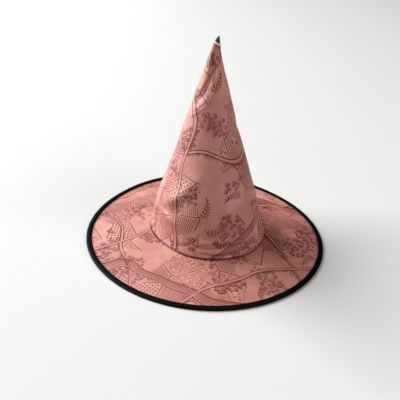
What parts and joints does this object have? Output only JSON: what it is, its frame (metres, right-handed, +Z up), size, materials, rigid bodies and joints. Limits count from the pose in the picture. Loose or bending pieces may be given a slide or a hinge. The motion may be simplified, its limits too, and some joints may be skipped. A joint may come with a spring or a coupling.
{
  "type": "witch hat",
  "caption": "Soft pointed cloth witch hat with a hollow conical crown and a round flat brim bound with tape, standing on its brim.",
  "frame": {"origin": "on the floor under the middle of the brim, which is the middle of the bounding box's lower face", "axes": "+Z up through the crown's point, -Y towards the hat's front, +X to the right seen from the front"},
  "size_m": [0.38, 0.38, 0.326],
  "materials": {
    "printed_cloth": "smooth satin-weave polyester in dusty rose with a fine dark red line print",
    "edge_tape": "black folded bias tape, slightly satin",
    "pale_band": "unprinted white edge of the cloth",
    "dark_tip": "dark grey-purple cloth end"
  },
  "bodies": {
    "root": {"crown": "printed_cloth", "brim": "printed_cloth", "edge_binding": "edge_tape", "tip_band": "pale_band", "tip_end": "dark_tip"}
  },
  "joints": []
}
